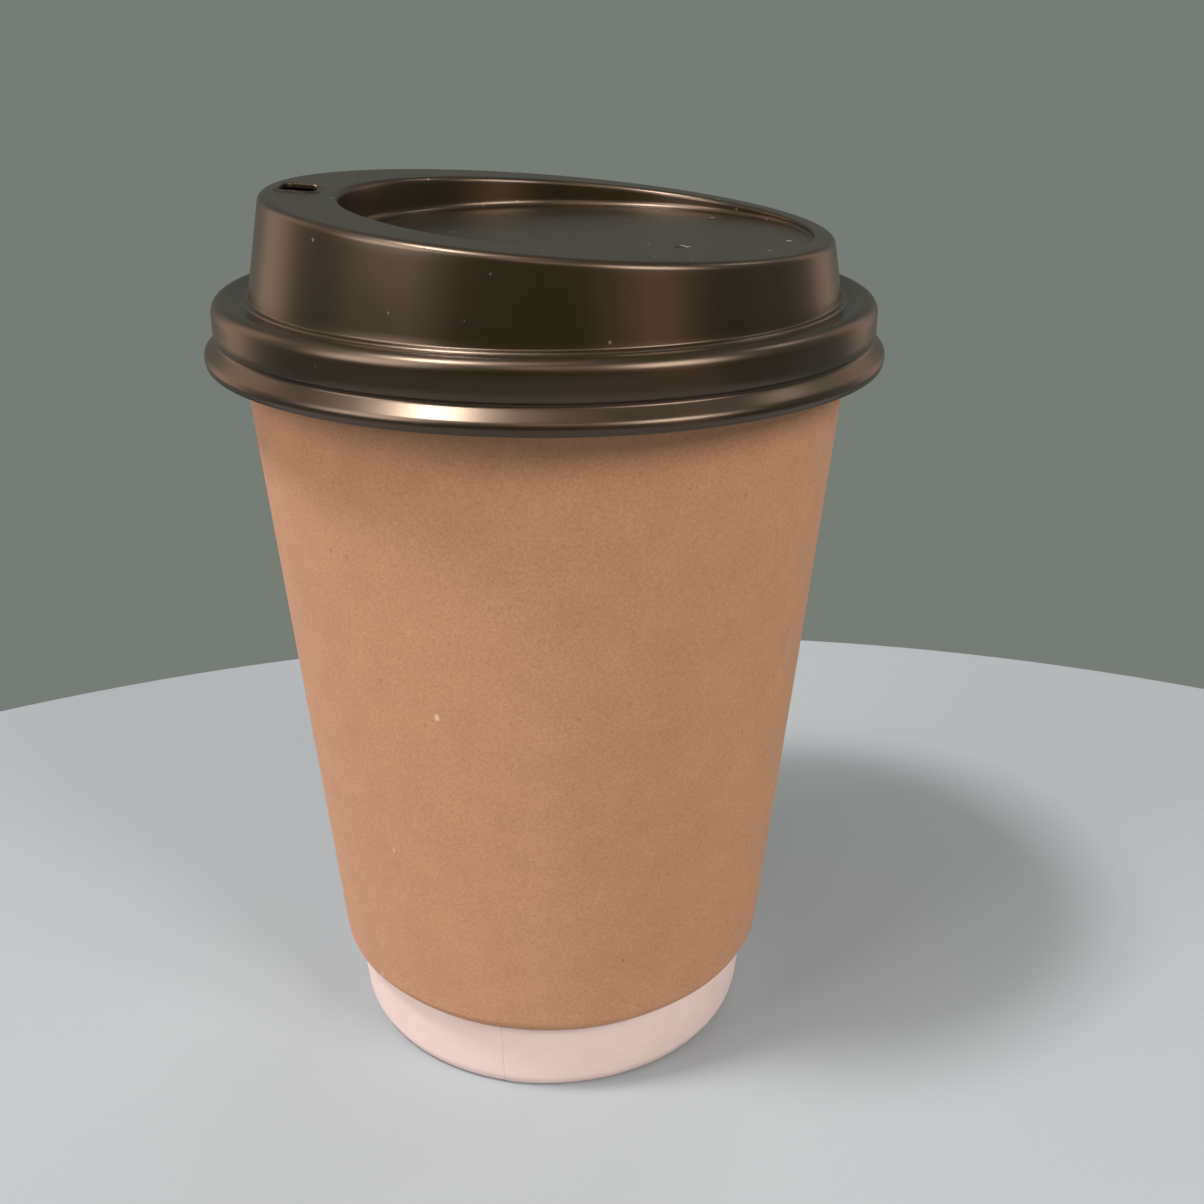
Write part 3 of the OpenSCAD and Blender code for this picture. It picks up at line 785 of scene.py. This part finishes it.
def makeLid(c):
    # the grid with both holes cut in is the outer face; the inner face is p - sheet * normal, and strips
    # join the two along the skirt's edge and the holes
    grid = lidGrid(c)
    rows, columns = grid.shape[:2]
    faces = gridQuads(rows, columns)
    faceRow, faceCol = faces[:, 0] // columns, faces[:, 0] % columns
    downhill = np.array([np.cos(np.radians(c["topSlope"])), 0, -np.sin(np.radians(c["topSlope"]))])
    level, upright = np.array([0.0, 1, 0]), np.array([0, 0, 1.0])
    aside = unit(sipHole["angle"])
    across, along = aside[0] * downhill + aside[1] * level, aside[0] * level - aside[1] * downhill
    sipCentre = topZ * upright - sipHole["offset"] * across
    ventCentre = np.array([*(vent["offset"] * unit(vent["angle"])), floorZ])
    keep = np.ones(len(faces), dtype=bool)
    points = [grid.reshape(-1, 3)]  # of the outer face
    bases = [grid.reshape(-1, 3)]  # the same without the raised lips, from which the inner face is made
    lipNormals, lipFaces, holeLoops = [], [], []
    for hole, centre, u, v, n in ((sipHole, sipCentre, across, along, np.cross(downhill, level)),
                                  (vent, ventCentre, np.array([1.0, 0, 0]), level, upright)):
        window, raised, flat, ringFaces, loop = cutHole(grid, sum(map(len, points)), hole, centre, u, v, n)
        low, high, first, last = window
        keep &= ~((faceRow >= low) & (faceRow < high) & (faceCol >= first) & (faceCol < last))
        points.append(raised)
        bases.append(flat)
        lipNormals.append(np.broadcast_to(n, flat.shape))
        lipFaces.append(ringFaces)
        holeLoops.append(loop)
    # middle of the well
    hub = np.array([[c["wellOffset"], 0, floorZ]])
    points, bases = np.vstack(points + [hub]), np.vstack(bases + [hub])
    faces = np.vstack([faces[keep]] + lipFaces)
    innermost = (rows - 1) * columns + np.arange(columns)
    fan = np.stack([innermost, np.roll(innermost, -1), np.full(columns, len(points) - 1)], axis=-1)
    # normals: the sum of the cross products of the faces round each vertex, and the plane's at the lips
    normals = np.zeros_like(points)
    for f in (faces[:, [0, 1, 2]], faces[:, [0, 2, 3]], fan):
        cross = np.cross(points[f[:, 1]] - points[f[:, 0]], points[f[:, 2]] - points[f[:, 0]])
        for k in range(3):
            np.add.at(normals, f[:, k], cross)
    normals /= np.maximum(np.linalg.norm(normals, axis=1, keepdims=True), 1e-12)
    normals[rows * columns:-1] = np.vstack(lipNormals)
    total = len(points)
    points = np.vstack([points, bases - c["sheet"] * normals])
    strips = []
    for loop in [np.arange(columns)[::-1]] + holeLoops:
        after = np.roll(loop, -1)
        strips.append(np.stack([loop, after, after + total, loop + total], axis=-1))
    quads = np.vstack([faces, faces[:, ::-1] + total] + strips)
    uv = np.stack([np.degrees(np.arctan2(points[:, 1], points[:, 0])) / 100,
                   np.hypot(points[:, 0], points[:, 1]) / 50], axis=-1)
    # the lid is turned on the cup
    cosTurn, sinTurn = unit(c["turn"])
    turned = points @ np.array([[cosTurn, sinTurn, 0], [-sinTurn, cosTurn, 0], [0, 0, 1]])
    makePiece("lidShell", turned, quads.tolist() + fan.tolist() + (fan[:, ::-1] + total).tolist(),
              brownPlastic, "lid", ["lid"], uv, 42)


makeLid(lid)
print("lid made")

# floor: the pale round top of a table; the room's own colour is the backdrop
studio = {
    "table": (0.33, 0.362, 0.388),
    "tableMiddle": (16.5, -174.0),
    "tableRadius": 310.0,
    "tableEdge": 4.0,
    "tableThickness": 24.0,
    "rings": (60, 150, 240),
    "columns": 240,
}


def tableTop(s):
    # a disc: radius from 0 to R at height 0, a quarter circle of the edge's radius, then straight down
    thick = s["tableThickness"]
    outer = arcPoints((s["tableRadius"] - s["tableEdge"], -s["tableEdge"]), s["tableEdge"], 90, 0, 7)
    inner = [[radius, 0] for radius in s["rings"]]
    profile = np.vstack([inner, outer, [[s["tableRadius"], -thick], [s["rings"][0], -thick]]])
    columns = s["columns"]
    points, _, _ = revolve(profile, columns)
    points = np.vstack([points, [[0, 0, 0], [0, 0, -thick]]]) + np.array([*s["tableMiddle"], 0])
    first = np.arange(columns)
    last = (len(profile) - 1) * columns + first
    top = np.stack([np.full(columns, len(points) - 2), first, np.roll(first, -1)], axis=-1)
    under = np.stack([np.full(columns, len(points) - 1), np.roll(last, -1), last], axis=-1)
    faces = gridQuads(len(profile), columns)[:, ::-1].tolist() + top.tolist() + under.tolist()
    mesh = bpy.data.meshes.new("tableTop")
    mesh.from_pydata((points * mm).tolist(), [], faces)
    mesh.polygons.foreach_set("use_smooth", np.ones(len(mesh.polygons), dtype=bool))
    material, tree, shader = newMaterial("tablePaint", 0.6, 0.2)
    shader.inputs["Base Color"].default_value = (*s["table"], 1)
    mesh.materials.append(material)
    sheet = bpy.data.objects.new("tableTop", mesh)
    bpy.context.scene.collection.objects.link(sheet)


tableTop(studio)

# lamps: way points from the cup to the lamp, distance and size are in metres, and level is the axis that
# a long lamp's short side is square to. Cards show only in the gloss, backSoft only in the matt light
lamps = [
    {"name": "leftLamp", "way": (-40, -17, 90), "distance": 1.5, "size": (0.22, 0.22),
     "watts": 17.0, "colour": (1.0, 0.96, 0.93)},
    {"name": "leftSoft", "way": (-100, -50, 70), "distance": 1.5, "size": (0.8, 0.8),
     "watts": 12.5, "colour": (1.0, 0.93, 0.91)},
    {"name": "keyBar", "way": (-40, -20, 150), "level": (1, 0, 0), "distance": 1.5, "size": (1.0, 0.12),
     "watts": 2.0, "colour": (1.0, 0.92, 0.88)},
    {"name": "rightSpot", "way": (67, 25, 70), "distance": 1.5, "size": (0.16, 0.16),
     "watts": 1.0, "colour": (1.0, 0.92, 0.88)},
    {"name": "frontLamp", "way": (-8, -100, 105), "distance": 1.5, "size": (0.5, 0.5),
     "watts": 1.5, "colour": (1.0, 0.94, 0.9)},
    {"name": "frontRight", "way": (85, -85, 100), "distance": 1.5, "size": (0.6, 0.6),
     "watts": 13.5, "colour": (1.0, 0.94, 0.9)},
    {"name": "leftCard", "way": (-83, 56, 22), "distance": 1.2, "size": (0.5, 1.1),
     "watts": 1.8, "colour": (1.0, 0.66, 0.48), "glossOnly": True},
    {"name": "rightCard", "way": (78, 62, 18), "distance": 1.2, "size": (0.4, 0.9),
     "watts": 0.9, "colour": (1.0, 0.66, 0.48), "glossOnly": True},
    {"name": "backSoft", "way": (45, 100, 80), "distance": 1.5, "size": (0.6, 0.6),
     "watts": 3.5, "colour": (1.0, 0.96, 0.94), "matteOnly": True},
    {"name": "redCard", "way": (64, -78, 9), "distance": 1.2, "size": (0.35, 0.5),
     "watts": 0.5, "colour": (1.0, 0.6, 0.5), "glossOnly": True},
]
lampAim = np.array([0, 0, 0.06])  # the middle of the cup
for lamp in lamps:
    data = bpy.data.lights.new(lamp["name"], "AREA")
    data.shape = "RECTANGLE"
    data.size, data.size_y = lamp["size"]
    data.energy, data.color = lamp["watts"], lamp["colour"]
    way = np.array(lamp["way"], dtype=float)
    way /= np.linalg.norm(way)
    rise = np.cross(way, lamp.get("level", np.cross([0, 0, 1], way)))
    rise /= np.linalg.norm(rise)
    matrix = np.eye(4)
    matrix[:3, 0], matrix[:3, 1], matrix[:3, 2] = np.cross(rise, way), rise, way
    matrix[:3, 3] = lampAim + way * lamp["distance"]
    place = bpy.data.objects.new(lamp["name"], data)
    place.matrix_world = Matrix(matrix.tolist())
    place.visible_camera = False
    place.visible_diffuse = not lamp.get("glossOnly", False)
    place.visible_glossy = not lamp.get("matteOnly", False)
    bpy.context.scene.collection.objects.link(place)

# room: grey-green behind the cup and at its sides, a little brighter overhead, dimmer in front, where the
# colour is multiplied by front
room = {
    "back": (0.181, 0.202, 0.182),
    "overhead": (0.22, 0.22, 0.215),
    "front": (0.52, 0.49, 0.34),
    "heights": (0.35, 0.9),  # the sky's Z at which back and overhead are reached
    "frontRange": (-0.6, 0.1),  # the sky's Y from all front to no front
}
world = bpy.data.worlds.new("room")
bpy.context.scene.world = world
world.use_nodes = True
roomTree = world.node_tree
skyPart = roomTree.nodes.new("ShaderNodeSeparateXYZ")
link(roomTree, roomTree.nodes.new("ShaderNodeTexCoord").outputs["Generated"], skyPart.inputs["Vector"])
skyStops = list(zip(room["heights"], (room["back"], room["overhead"])))
skyTone = rampNode(roomTree, skyPart.outputs["Z"], skyStops)
skyShare = rangeNode(roomTree, skyPart.outputs["Y"], *room["frontRange"])
skyDim = mixNode(roomTree, 1.0, skyTone, (*room["front"], 1), "MULTIPLY")
link(roomTree, mixNode(roomTree, skyShare, skyDim, skyTone), roomTree.nodes["Background"].inputs["Color"])

# camera from the photo's own perspective: yaw to the right of +Y, pitch down, roll round the view;
# the lens is the focal length in pixels as a share of the picture's width, times the sensor's
view = {"place": (-3.73, -192.0, 149.8), "yaw": 3.52, "pitch": 23.24, "roll": 0.44,
        "focal": 1350.0, "width": 1204.0, "sensor": 36.0}
yaw, pitch, roll = np.radians([view["yaw"], view["pitch"], view["roll"]])
ahead = np.array([np.sin(yaw) * np.cos(pitch), np.cos(yaw) * np.cos(pitch), -np.sin(pitch)])
right = np.array([np.cos(yaw), -np.sin(yaw), 0])
above = np.cross(right, ahead)
matrix = np.eye(4)
matrix[:3, 0] = np.cos(roll) * right + np.sin(roll) * above
matrix[:3, 1] = -np.sin(roll) * right + np.cos(roll) * above
matrix[:3, 2] = -ahead
matrix[:3, 3] = np.array(view["place"]) * mm
cameraData = bpy.data.cameras.new("camera")
cameraData.sensor_width = view["sensor"]
cameraData.lens = view["focal"] / view["width"] * view["sensor"]
cameraData.clip_start = 0.01
camera = bpy.data.objects.new("camera", cameraData)
camera.matrix_world = Matrix(matrix.tolist())
bpy.context.scene.collection.objects.link(camera)
bpy.context.scene.camera = camera
bpy.context.scene.view_settings.view_transform = "Standard"
print("light and camera set")
